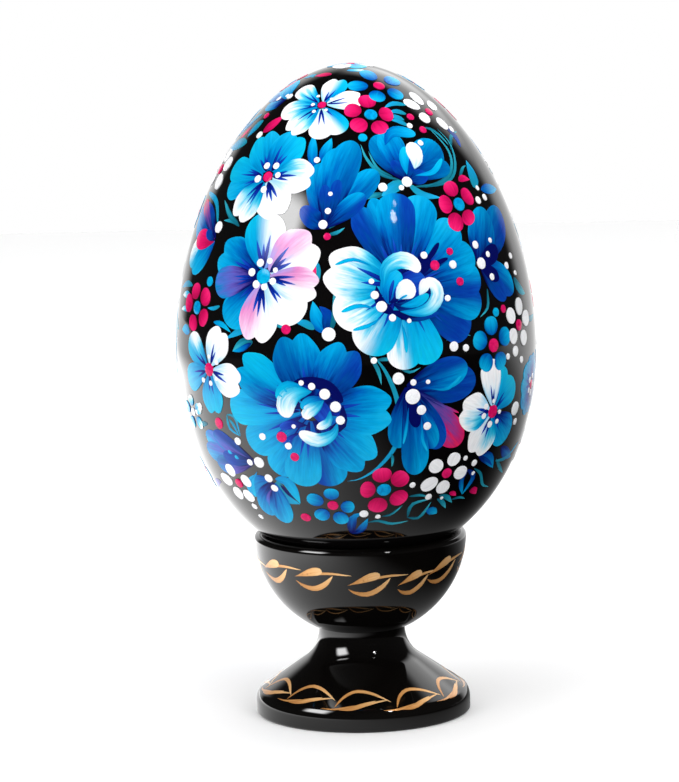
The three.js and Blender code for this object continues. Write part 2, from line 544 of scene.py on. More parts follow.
class Coat:
    """One painted piece: strokes on a surface, each a hair higher than the one before."""

    LOWEST = 0.02  # how high the first stroke of the lowest level stands
    LEVEL = 0.035  # between the levels that pieces are painted on
    STEP = 0.005  # between a piece's own strokes
    SUNK = 0.15  # how far the strokes reach under the surface
    EDGE = 0.26  # how far the base's colour runs up a petal's sides
    CREASE = 0.3  # and along its creases
    NOTCH = 0.11  # between a petal's lobes, as a share of its length
    STREAK = 0.13  # how far the streaks carry a colour along, as a share of the stroke
    BROAD = 1.5  # the width of line that gets a finer mesh across
    DROP_LOW = 0.03  # how high the smallest drop is domed
    DROP_SHARE = 0.07  # and what a bigger one adds, as a share of its radius
    DROP_TONES = (0.35, 0.75)  # the two places in its paint's run that a drop mixes
    VEIN_WIDTH = 0.085  # as a share of the petal's
    VEIN_SPREAD = 1.3  # of a petal's veins, as a share of its half width

    def __init__(self, surface, name, level=0, side=None):
        self.surface = surface
        self.name = name
        self.side = side or Side("whole")
        self.rise = self.LOWEST + self.LEVEL * level
        self.dice = random.Random(name)
        self.vertices, self.faces, self.brush, self.tones = [], [], [], [[], []]
        self.count = 0
        self.stray = [self.dice.uniform(-1, 1) * self.side.wander for _ in range(2)]

    def on(self, spots):
        """The spots as points on this side's part of the surface."""
        places = np.array([self.side.spot(spot) for spot in spots]) + self.stray
        return np.array([self.surface.at(place) for place in places])

    def add(self, vertices, faces, brush, tones):
        self.vertices.append(vertices)
        self.faces += [tuple(int(index) + self.count for index in face) for face in faces]
        self.brush.append(brush)
        for held, tone in zip(self.tones, tones):
            held.append(tone)
        self.count += len(vertices)

    def sheet(self, points, share, shade, lane, paint, length):
        """A sheet of paint on a grid of points, closed underneath; shade is its place among its colours."""
        on, normal = self.surface.settle(points)
        top = on + normal * self.rise
        rows, columns = share.shape
        grid = np.arange(rows * columns).reshape(rows, columns)
        rim = np.concatenate([grid[0, :-1], grid[:-1, -1], grid[-1, :0:-1], grid[:0:-1, 0]])
        under = (on - normal * self.SUNK).reshape(-1, 3)[rim]
        below = np.arange(len(rim)) + grid.size
        faces = []
        for row in range(rows - 1):
            for column in range(columns - 1):
                a, b = grid[row, column], grid[row, column + 1]
                faces.append((a, b, b + columns, a + columns))
        for here, (edge, low) in enumerate(zip(rim, below)):
            after = (here + 1) % len(rim)
            faces.append((low, below[after], rim[after], edge))
        faces.append(tuple(below[::-1]))
        start = self.dice.uniform(0, 50)
        brush = np.stack([lane + start, share * length + start, np.full_like(share, start)], axis=-1)
        lightness = 1 + self.dice.uniform(-0.05, 0.05)
        shades = (shade - self.STREAK, shade + self.STREAK)
        tones = [self.colours(paint, place, lane) * lightness for place in shades]
        everything = np.concatenate([np.arange(grid.size), rim])
        self.add(
            np.concatenate([top.reshape(-1, 3), under]),
            faces,
            brush.reshape(-1, 3)[everything],
            [tone.reshape(-1, 3)[everything] for tone in tones],
        )

    def colours(self, paint, share, lane):
        """One paint, or a pair of them side by side on the brush: left, right."""
        pair = [paint, paint] if isinstance(paint, str) else list(paint)
        left, right = (tint(self.side.exchange.get(one, one), share) for one in pair)
        blend = np.clip(0.5 + lane / np.abs(lane).max(), 0, 1)[..., None]
        blend = blend * blend * (3 - 2 * blend)
        return left * (1 - blend) + right * blend

    def petal(self, base, tip, width, paint, lobes=1, cap=0.45, veins=0):
        """A broad dab that fans out to a tip rounded by cap times its width, or scalloped into lobes."""
        self.rise += self.STEP
        ends = self.on([base, tip])
        middle, normal = self.surface.settle(ends.mean(axis=0))
        right = np.cross(ends[1] - ends[0], normal)
        bow = self.dice.uniform(-0.3, 0.3)
        middle = middle + right / np.linalg.norm(right) * bow
        trail = Trail(self.surface, np.array([ends[0], middle, ends[1]]))
        u, v = np.meshgrid(across_brush(25), np.linspace(0, 1, 14))
        rounding = min(cap * width / trail.length, 0.7)
        reach = 1 - rounding * (1 - np.sqrt(np.maximum(1 - u**2, 0)))
        folds = lobes if lobes > 1 else 3
        crease = 1 - np.abs(np.sin(folds * math.pi * (u + 1) / 2))
        if lobes > 1:
            reach -= self.NOTCH * crease * (1 - 0.6 * u**4)
        side = 0.5 * width * u * (0.16 + 0.84 * np.sin(v * math.pi / 2) ** 0.9)
        shade = v - (self.EDGE * u**2 + self.CREASE * crease**3) * (1 - v**2)
        self.sheet(trail.point(v * reach, side), v, shade, 0.5 * width * u, paint, trail.length)
        self.rise += self.STEP
        for vein in range(veins):
            place = (vein + 0.5) / veins * self.VEIN_SPREAD - self.VEIN_SPREAD / 2
            line = place + self.dice.uniform(-0.1, 0.1)
            end = self.dice.uniform(0.35, 0.6)
            stations = np.array([0.0, 0.5 * end, end])
            aside = 0.5 * width * line * np.sin(stations * math.pi / 2)
            self.line(trail.point(stations, aside), self.VEIN_WIDTH * width, "vein", head=0.6, tail=0.9)

    def line(self, points, width, paint, head, tail):
        """A brush line; head and tail say how each end narrows: 0.5 is round, 1 and more is pointed."""
        trail = Trail(self.surface, points)
        rows = max(9, int(trail.length / 0.7))
        share = (1 - np.cos(math.pi * np.linspace(0.05, 0.95, rows))) / 2
        across = across_brush(11) if width >= self.BROAD else np.array([-1, -0.6, 0, 0.6, 1])
        u, v = np.meshgrid(across, share)
        widest = head / (head + tail)
        girth = (v / widest) ** head * ((1 - v) / (1 - widest)) ** tail
        side = 0.5 * width * u * girth
        shade = v - self.EDGE * u**2 * (1 - v**2)
        self.sheet(trail.point(v, side), v, shade, 0.5 * width * u, paint, trail.length)

    def stroke(self, spots, width, paint, head, tail):
        self.rise += self.STEP
        self.line(self.on(spots), width, paint, head, tail)

    def dot(self, spot, radius, paint="snow"):
        """A domed drop of paint."""
        centre, normal = self.surface.settle(self.on([spot])[0])
        right = np.cross(normal, (0, 0, 1.0))
        right = right / np.linalg.norm(right)
        up = np.cross(right, normal)
        rings, around = 5, 20
        angles = 2 * math.pi * np.arange(around) / around
        circle = np.cos(angles)[:, None] * right - np.sin(angles)[:, None] * up
        height = self.DROP_LOW + self.DROP_SHARE * radius
        vertices = [centre + normal * (self.rise + height)]
        for row in range(1, rings + 1):
            share = row / rings
            out, _ = self.surface.settle(centre + circle * radius * math.sin(share * math.pi / 2))
            lift = self.rise + height * math.cos(share * math.pi / 2)
            vertices += list(out + normal * (lift if row < rings else -self.SUNK))
        faces = []
        for step in range(around):
            after = (step + 1) % around
            faces.append((0, 1 + after, 1 + step))
            for row in range(rings - 1):
                a, b = 1 + row * around + step, 1 + row * around + after
                faces.append((a, b, b + around, a + around))
        faces.append(tuple(range(1 + (rings - 1) * around, 1 + rings * around)))
        vertices = np.array(vertices)
        brush = (vertices - centre) + self.dice.uniform(0, 50)
        paint = self.side.exchange.get(paint, paint)
        tones = [tint(paint, np.full(len(vertices), place)) for place in self.DROP_TONES]
        self.add(vertices, faces, brush, tones)

    def piece(self, slot, body="egg", material=None):
        vertices = np.concatenate(self.vertices)
        piece = make_piece(self.name, vertices, self.faces, material or enamel)
        mesh = piece.data
        brush = mesh.attributes.new("brush", "FLOAT_VECTOR", "POINT")
        brush.data.foreach_set("vector", np.concatenate(self.brush).ravel().astype(np.float32))
        for name, tones in zip(("tone_behind", "tone_ahead"), self.tones):
            colours = np.concatenate(tones)
            colours = np.concatenate([colours, np.ones((len(colours), 1))], axis=1)
            attribute = mesh.attributes.new(name, "FLOAT_COLOR", "POINT")
            attribute.data.foreach_set("color", colours.ravel().astype(np.float32))
        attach(piece, body)


def between(start, end, share):
    return tuple(a + (b - a) * share for a, b in zip(start, end))


egg_skin = Turned(egg_outline())
bowl_skin = Turned(bowl_outline())
flare_skin = Turned(flare_outline())


# ---------------------------------------------------------------- the flowers


class Side:
    """A side of the egg: the back repeats the front's bouquet by hand, mirrored and in other colours."""

    def __init__(self, name, mirrored=False, wander=0.0, exchange=None):
        self.name = name
        self.mirrored = mirrored
        self.wander = wander  # mm that a motif strays from its place
        self.exchange = exchange or {}

    def spot(self, spot):
        return (180 - spot[0], spot[1]) if self.mirrored else spot

    def coat(self, name, level=1):
        return Coat(egg_skin, f"{self.name}_{name}", level, self)


def flower(
    side, name, heart, petals, slot="blue_paint", level=1, veins=0, eye=None, curls=(), beads=(), berries=(),
    root=0.12, cap=0.45,
):
    """Petals by their tips (azimuth, height, width, paint, any lobes), then curls of the brush and drops."""
    coat = side.coat(name, level)
    for azimuth, height, width, paint, *lobes in petals:
        tip = (azimuth, height)
        coat.petal(between(heart, tip, root), tip, width, paint, lobes[0] if lobes else 1, cap, veins)
    for width, paint, *spots in curls:
        coat.stroke(spots, width, paint, head=0.9, tail=0.5)
    if eye:
        coat.dot(heart, *eye)
    for azimuth, height, radius in beads:
        coat.dot((azimuth, height), radius)
    for azimuth, height, radius in berries:
        coat.dot((azimuth, height), radius, "crimson")
    coat.piece(slot)


def great_blue_flower(side):
    """The big two-tone flower: blue petals behind, white-tipped ones in front, white curls in its heart."""
    flower(side, "great_blue_flower", (15, 98), [
        (3.5, 115.9, 9.5, ("deep", "azure"), 2), (37.8, 87.4, 8.0, "deep"),
        (44, 92.6, 7.5, ("deep", "azure")), (45.5, 98.2, 7.5, ("azure", "deep")), (44.6, 103.6, 7.5, "azure"),
        (39.5, 110, 7.5, ("sky", "azure")), (28, 116, 8.0, ("sky", "azure")),
        (16.3, 117, 8.5, ("azure", "deep")), (24, 82, 7.6, "cyan"), (15.2, 81, 7.6, ("cyan", "ice")),
        (2.5, 84.8, 9.5, ("cyan", "ice")), (-6.5, 92, 9.0, "ice"), (-10.3, 102.8, 11.5, "ice", 2),
    ], curls=[
        (2.2, "navy", (6.8, 98.6), (7.8, 95.2), (11.5, 92.8)),
        (2.2, "navy", (10.5, 93.4), (17, 92), (22.5, 92.4)),
        (3.4, "navy", (19.5, 100), (22, 101.5), (25.5, 104)),
        (1.2, "navy", (22, 102), (26.5, 104), (30.5, 106.5)),
        (1.0, "navy", (24, 101.5), (29, 102.5), (33, 103.2)),
        (1.1, "deep", (14, 91.5), (20, 91.3), (27, 92.3)),
        (5.6, "vein", (10.5, 95), (16.5, 98), (23.5, 99.5)),
        (0.8, "cyan", (5.5, 102.7), (-0.5, 104), (-6.5, 103)),
        (1.0, "cyan", (6, 94), (1, 94.6), (-4.5, 93.4)), (0.9, "cyan", (8, 92), (4, 90.5), (-1, 89.6)),
        (0.9, "cyan", (14.5, 90.5), (15.3, 87.5), (15.5, 84.5)),
        (4.2, "deep", (12, 94.6), (17, 94), (23.5, 94.4)),
        (4.4, "sky", (10.2, 94.8), (11.2, 98.6), (14.8, 101.2)),
        (3.6, "ice", (9, 98), (10.2, 101.8), (15, 103.5), (19.3, 102.8), (21.6, 100.9)),
        (0.8, "vein", (10.6, 94.6), (11.4, 97.3), (12.6, 99.6)),
        (0.6, "vein", (12.3, 94.8), (12.8, 97), (14, 98.6)),
        (4.3, "white", (13, 95.8), (16, 97.3), (19.5, 98.2)),
        (0.5, "sky", (13.5, 95.3), (15, 95.9), (16.8, 96.4)),
        (3.0, "ice", (14, 93.1), (19, 92.7), (24, 93.4), (27, 95.6), (26.6, 97.9), (23.4, 99.4)),
        (2.0, "cyan", (14.3, 94.2), (19, 94.6), (24, 96.2)),
        (2.4, "white", (20.8, 96.2), (22.6, 97.8), (23.8, 99.4)),
    ], beads=[
        (5.3, 99.5, 0.6), (6.2, 96.7, 0.9), (8.2, 94.3, 1.2), (11.5, 91.9, 0.8), (16.8, 91.1, 0.5),
        (24, 104.2, 0.8), (30.7, 95.1, 0.7), (34.5, 101.8, 0.9),
    ], berries=[(27.5, 102, 1.1), (34.2, 104.5, 0.8), (36.3, 98.2, 0.9)], veins=2)


def great_round_flower(side):
    """The wide blue flower below it, with curls and an arc of beads in its heart."""
    flower(side, "great_round_flower", (-14.5, 72.5), [
        (-29.7, 58.4, 7.2, ("azure", "sky")), (-38.3, 64.3, 8.0, "sky"), (-44, 72.6, 7.8, ("cyan", "sky")),
        (-39.7, 82.3, 9.8, ("azure", "cyan"), 2), (-9, 56, 8.0, ("azure", "deep")), (-20.7, 55.8, 8.2, "sky"),
        (4, 60.6, 10.5, ("sky", "azure"), 2), (-20.5, 89, 10.8, ("cobalt", "azure"), 2),
        (-1.8, 86.5, 9.8, ("azure", "deep"), 2), (11.3, 72.6, 10.8, ("azure", "sky"), 2),
    ], curls=[
        (2.6, "navy", (-21, 77.8), (-17, 79), (-9.5, 78), (-4.5, 74.5)),
        (2.2, "navy", (-4.5, 74), (-5, 70), (-9, 68.2)), (4.0, "vein", (-18.5, 76.5), (-13, 74), (-9, 70)),
        (2.0, "vein", (-16, 69.5), (-21, 69.6), (-25.5, 68.8)),
        (0.8, "vein", (-18, 68), (-22, 66.8), (-25, 65.2)),
        (2.4, "cyan", (-17, 78), (-22.5, 77.7), (-25.6, 75)),
        (4.4, "ice", (-14, 76.8), (-19.5, 76.3), (-22.6, 74.2), (-22.6, 71)),
        (2.2, "sky", (-10.5, 75.5), (-14.5, 74.8), (-17.7, 73.2)),
        (2.9, "ice", (-10.3, 75), (-12.8, 73.6), (-15.6, 72.3), (-16.2, 70.8)),
        (1.9, "ice", (-8.5, 72.8), (-9.3, 70.3), (-13, 69)),
        (3.1, "ice", (-6.3, 70.2), (-8, 67.7), (-13, 66.3), (-19, 67.9)),
    ], beads=[
        (-17.3, 78.6, 0.6), (-14, 77.9, 0.8), (-10, 76.3, 1.2), (-6.8, 73.6, 1.2), (-5.4, 70.7, 1.0),
        (-20.6, 69.2, 0.5), (-32.3, 66.5, 0.8), (-23.2, 64.8, 0.8),
    ], berries=[(-25.2, 66.7, 1.2), (-21.5, 62.4, 1.0)], veins=2)


def open_flowers(side):
    """The pansies, which show their faces."""
    flower(side, "pink_flower", (-31.5, 100.3), [
        (-45.5, 90.1, 8.0, ("sky", "azure")), (-53, 104.8, 10.5, ("sky", "azure"), 2),
        (-52.5, 97.6, 6.8, "violet"), (-12.8, 101.8, 5.5, "crimson"), (-34.5, 113.3, 10.2, ("cyan", "pearl")),
        (-13, 108, 10.8, ("pink", "white"), 2), (-33.5, 86.4, 9.6, ("white", "pink"), 2),
        (-17.8, 91.5, 8.8, "white"), (-11.6, 98.2, 7.8, ("pink", "white"), 2),
    ], slot="white_paint", veins=3, eye=(1.7, "cyan"), beads=[
        (-33.3, 103, 0.9), (-29.7, 103.5, 0.7), (-36.3, 101, 0.9), (-34, 98.6, 0.9), (-30.8, 98.2, 0.8),
        (-27.8, 99.4, 0.8), (-27.2, 101.7, 0.6),
    ])
    flower(side, "sky_and_white_flower", (-38.5, 120.3), [
        (-60.5, 116.7, 5.6, "sky"), (-64.5, 121.2, 6.0, "cyan"), (-53, 128.6, 8.6, ("cyan", "sky"), 2),
        (-28.5, 129, 9.0, ("sky", "cyan"), 2), (-16.5, 120.3, 8.0, ("ice", "white"), 2),
        (-29.5, 112.2, 8.8, "white", 2), (-48.5, 111.2, 7.6, "ice", 2),
    ], veins=3, eye=(1.2, "crimson"), beads=[
        (-41, 122.4, 0.8), (-35.8, 122.5, 0.8), (-43.5, 119.7, 0.9), (-38.5, 117.7, 0.8), (-33.5, 120.7, 0.7),
    ])
    flower(side, "top_flower", (-21, 134.6), [
        (-50, 132.6, 5.4, "ice"), (-52, 137.6, 4.6, "ice"), (-14, 139.5, 5.6, ("white", "cyan"), 2),
        (9, 136, 5.6, "white", 2), (-5, 129.2, 5.2, ("cyan", "white")), (-16, 128, 5.4, "white"),
        (-36, 128.9, 6.0, "ice", 2),
    ], slot="white_paint", veins=2, eye=(0.95, "crimson"), beads=[
        (-28, 134.6, 0.45), (-25, 133.3, 0.45), (-17, 133.6, 0.4), (-15, 135.7, 0.4), (-27, 136.2, 0.4),
    ])
    flower(side, "white_and_sky_flower", (-53, 79.7), [
        (-65.5, 86, 6.2, ("cyan", "ice")), (-67.5, 76, 6.0, "cyan"), (-52, 70, 7.2, "cyan", 2),
        (-38.5, 77.3, 7.4, "white", 2), (-46.5, 88.7, 7.4, "white", 2),
    ], slot="white_paint", level=2, veins=2, eye=(1.5, "crimson"), beads=[
        (-56.5, 77.2, 0.6), (-49.2, 81.5, 0.6), (-52.5, 76.8, 0.6), (-53, 82.5, 0.5), (-49.5, 78, 0.5),
    ])
    flower(side, "right_white_flower", (48.3, 69.8), [
        (59.5, 75.4, 6.8, "cyan"), (52.5, 79.3, 4.6, "cyan"), (60, 63, 7.8, ("azure", "sky")),
        (42.7, 60.6, 8.6, ("ice", "white"), 2), (34, 71.3, 8.6, ("ice", "white"), 2),
        (45.8, 81.2, 6.2, "white"),
    ], slot="white_paint", level=2, veins=2, eye=(1.5, "crimson"), beads=[
        (44.8, 71.2, 0.7), (44.2, 69.2, 0.7), (47.6, 67.1, 0.8), (51.2, 67.4, 0.6), (51.9, 69.4, 0.5),
        (48.2, 72.1, 0.5),
    ])


def profile_flowers(side):
    """The flowers seen from the side: cups of petals over a small base."""
    flower(side, "left_tulip", (-10.5, 110.5), [
        (-14.8, 123.3, 6.5, ("azure", "cobalt")), (10.5, 121.6, 5.6, ("azure", "cobalt")),
        (-7.5, 126.2, 6.5, ("azure", "cobalt")), (0.5, 127.6, 7.0, ("azure", "cobalt")),
        (-20, 114.5, 4.2, "deep"), (4.5, 117, 4.2, ("azure", "deep")), (-6, 120, 2.4, "deep"),
        (-11.5, 119, 2.4, "deep"),
    ], root=0, cap=0.9, beads=[(-9, 117.2, 0.5), (-9.6, 113.8, 0.7), (-11.2, 111.1, 1.0)], berries=[
        (-9.5, 108.7, 0.8),
    ])
    flower(side, "curled_flower", (23, 119.4), [
        (11, 128.4, 7.0, ("cobalt", "azure")), (17.5, 129.5, 6.0, "azure"),
        (45.5, 126.2, 8.4, ("azure", "cobalt")), (46.5, 121.5, 4.4, "cobalt"), (33, 120.3, 3.4, "deep"),
        (18, 123.5, 2.4, "deep"), (28, 123.5, 2.4, "deep"),
    ], root=0, cap=0.7, curls=[
        (2.8, "sky", (16, 126.5), (22, 129), (35, 128.3)),
        (2.2, "cyan", (23.3, 120.5), (23.5, 123), (26, 126)),
        (3.8, "white", (27.5, 121.5), (29.8, 123.6), (30.3, 126.8)),
        (1.3, "cyan", (27, 120.2), (36, 120.6), (44, 123)),
    ], beads=[
        (22.6, 119.1, 1.2), (19.7, 118, 0.6), (12, 118.3, 1.0), (35.5, 126.5, 0.7), (33.8, 130, 0.7),
    ], berries=[(41.2, 129, 0.9)])
    flower(side, "right_tulip", (46.5, 101.3), [
        (70, 111, 8.0, ("cobalt", "deep")), (57.5, 112.2, 8.5, ("azure", "cobalt")),
        (63, 94.3, 6.5, ("azure", "deep")), (57, 93, 4.6, "deep"), (58, 104, 4.0, "navy"),
        (55, 97.5, 3.2, "navy"),
    ], root=0, cap=0.8, beads=[
        (47.3, 101.3, 1.3), (46.4, 105.2, 0.9), (51.7, 102.9, 0.7), (51.3, 98.2, 0.8), (55, 105.6, 0.6),
        (61.6, 99.8, 0.8), (66.5, 101.5, 0.7), (67, 97.8, 0.6),
    ])
    flower(side, "left_edge_tulip", (-58.5, 106.5), [
        (-82, 111.5, 8.5, ("azure", "deep")), (-80, 113.6, 2.6, "plum"), (-77, 101.5, 7.5, ("cyan", "ice")),
        (-71, 99.3, 5.6, "sky"), (-74, 106, 4.6, "crimson"), (-66, 108, 2.2, "deep"),
    ], root=0, cap=0.8, curls=[(1.2, "sea", (-58, 109), (-66, 114), (-80, 115.4))], beads=[(-58, 109.3, 1.3)])
    flower(side, "upper_edge_tulip", (-58, 135.4), [
        (-76, 133.2, 4.6, ("azure", "sky")), (-92, 135, 3.6, "azure"), (-84, 137, 3.0, "cyan"),
        (-80, 138.6, 3.6, "cyan"),
    ], root=0, cap=0.8, beads=[(-69, 135.2, 0.7), (-56.5, 135.9, 0.8), (-61, 136, 0.5)])
    flower(side, "trumpet_flower", (15.5, 77.2), [
        (39.8, 77.3, 8.5, "deep"), (36.5, 80.6, 6.8, ("deep", "azure")), (35.8, 63.8, 6.8, "plum"),
        (28, 63.5, 6.0, "deep"), (25.5, 63.6, 4.6, ("azure", "deep")), (13, 64.2, 5.4, ("azure", "cobalt")),
        (20.2, 57.9, 6.0, ("azure", "cobalt")), (19, 68.5, 2.4, "navy"),
    ], root=0, cap=0.8, curls=[
        (0.8, "sky", (22, 76.7), (29, 76.3), (34, 78.6)), (0.7, "plum", (21, 75), (28, 72.5), (33.5, 70.8)),
        (0.7, "sky", (16, 73), (15.3, 68), (14.6, 65)), (0.7, "sky", (20.3, 71), (21, 66), (23.2, 63)),
    ], beads=[
        (12.8, 79.2, 1.3), (17.5, 78.2, 0.7), (22.3, 78.1, 0.5), (17.3, 75.2, 1.7), (20.2, 72.2, 1.1),
        (22.4, 68.6, 0.9),
    ])
    flower(side, "lower_left_tulip", (-38, 60.5), [
        (-61, 65, 5.0, ("sky", "violet")), (-63.5, 61.5, 5.0, ("azure", "violet")),
        (-55.5, 65.8, 4.4, ("violet", "deep")), (-59, 58.6, 4.6, ("violet", "cobalt")),
        (-53, 61, 3.4, "deep"),
    ], root=0, cap=0.8, beads=[
        (-36, 60.5, 1.3), (-40, 60.3, 0.8), (-33.7, 57, 1.0), (-32.4, 54.8, 0.9), (-43.3, 64.8, 0.9),
    ], curls=[(0.9, "cyan", (-47.5, 61.7), (-49.5, 62.2)), (0.9, "cyan", (-44.7, 60.8), (-46.7, 61.2))])
    flower(side, "lowest_left_tulip", (-31.5, 57), [
        (-46, 53, 5.5, ("azure", "sky")), (-42, 48, 5.8, "azure"), (-34.5, 46.3, 5.5, ("sky", "azure")),
    ], root=0.1, cap=0.8, curls=[
        (0.9, "cyan", (-38, 58.3), (-42, 55.5), (-44, 52)),
        (0.8, "violet", (-33, 55), (-37, 52.5), (-39, 50)),
    ])


POSY_LOOKS = {  # the slot of each paint, and the paint of its eye
    "crimson": ("crimson_paint", "sky"),
    "sky": ("blue_paint", "crimson"),
    "snow": ("white_paint", "crimson"),
    "ice": ("white_paint", "snow"),
}
DAB_START, DAB_END = 0.52, 1.44  # as shares of the way from the eye to a petal's spot
EYE_SIZE = 0.37  # as a share of a dab's


def posy(side, name, paint, size, eye, *petals, level=2.0):
    """A small flower of round dabs about an eye."""
    slot, eye_paint = POSY_LOOKS[paint]
    coat = side.coat(name + "_posy", level)
    for petal in petals:
        dab = [between(eye, petal, DAB_START), between(eye, petal, DAB_END)]
        coat.stroke(dab, size, paint, head=0.5, tail=0.45)
    coat.dot(eye, EYE_SIZE * size, eye_paint)
    coat.piece(slot)


def posies(side):
    """The small flowers on a side: name, paint, size of a dab, eye and petals."""
    rows = [
        ("top_sky", "sky", 3.6, (28, 138), (6.2, 138.1), (25.5, 140), (50.3, 138.6), (38, 136.2), (21, 136)),
        ("top_crimson", "crimson", 3.9, (12, 132.6), (0.5, 133.5), (11.5, 135.2), (22, 132.5), (15.5, 130),
         (4, 130.6)),
        ("top_white", "snow", 2.8, (56, 132.2), (45, 134), (55.5, 135), (66, 133.2), (60, 129.6),
         (48, 131.2)),
        ("right_crimson", "crimson", 4.1, (44, 113.7), (37.3, 114), (42.5, 117), (50, 115), (46.7, 110.8),
         (39.8, 110.2)),
        ("left_crimson", "crimson", 4.0, (-62, 92.2), (-69, 92.7), (-64.3, 95.6), (-57.3, 94.8),
         (-57.3, 90.4), (-64, 88.8)),
        ("low_crimson", "crimson", 4.2, (9, 54.8), (3, 55), (8, 58.3), (14.5, 57.2), (15, 52.7), (7, 51.2)),
        ("low_sky", "sky", 3.3, (-10.3, 51.3), (-17, 52.6), (-10.3, 54.1), (-4.5, 51), (-7.8, 48.2),
         (-15.5, 49)),
        ("low_white", "snow", 3.3, (32.5, 57.4), (27.4, 59.4), (34.2, 60.5), (38.7, 57.1), (32.4, 54.2),
         (26, 55.3)),
        ("left_white", "snow", 3.1, (-50, 54.8), (-57.7, 55.1), (-52, 57.7), (-45.2, 55.7), (-47.6, 52),
         (-54, 52.2)),
        ("right_sky", "sky", 4.1, (48, 84), (42, 85.5), (47.5, 88.3), (54, 85.4), (51, 80.4), (44.3, 80.6)),
        ("right_white", "snow", 3.4, (63.5, 87), (58.7, 89.4), (65.3, 90.9), (70, 87.9), (66.5, 84),
         (59, 85)),
        ("left_pale", "ice", 2.5, (-67, 69.3), (-72.5, 70), (-67.5, 71.9), (-62.5, 70.4), (-63.5, 67.2),
         (-70, 66.8)),
        ("left_edge", "snow", 3.4, (-80, 120.3), (-88, 121.3), (-80, 123.2), (-72.5, 121.7), (-73, 118),
         (-86, 117.9)),
    ]
    for order, row in enumerate(rows):  # where two meet, the later one lies on top
        posy(side, *row, level=2 + 0.15 * order)


GREENERY_TOP = 0.045


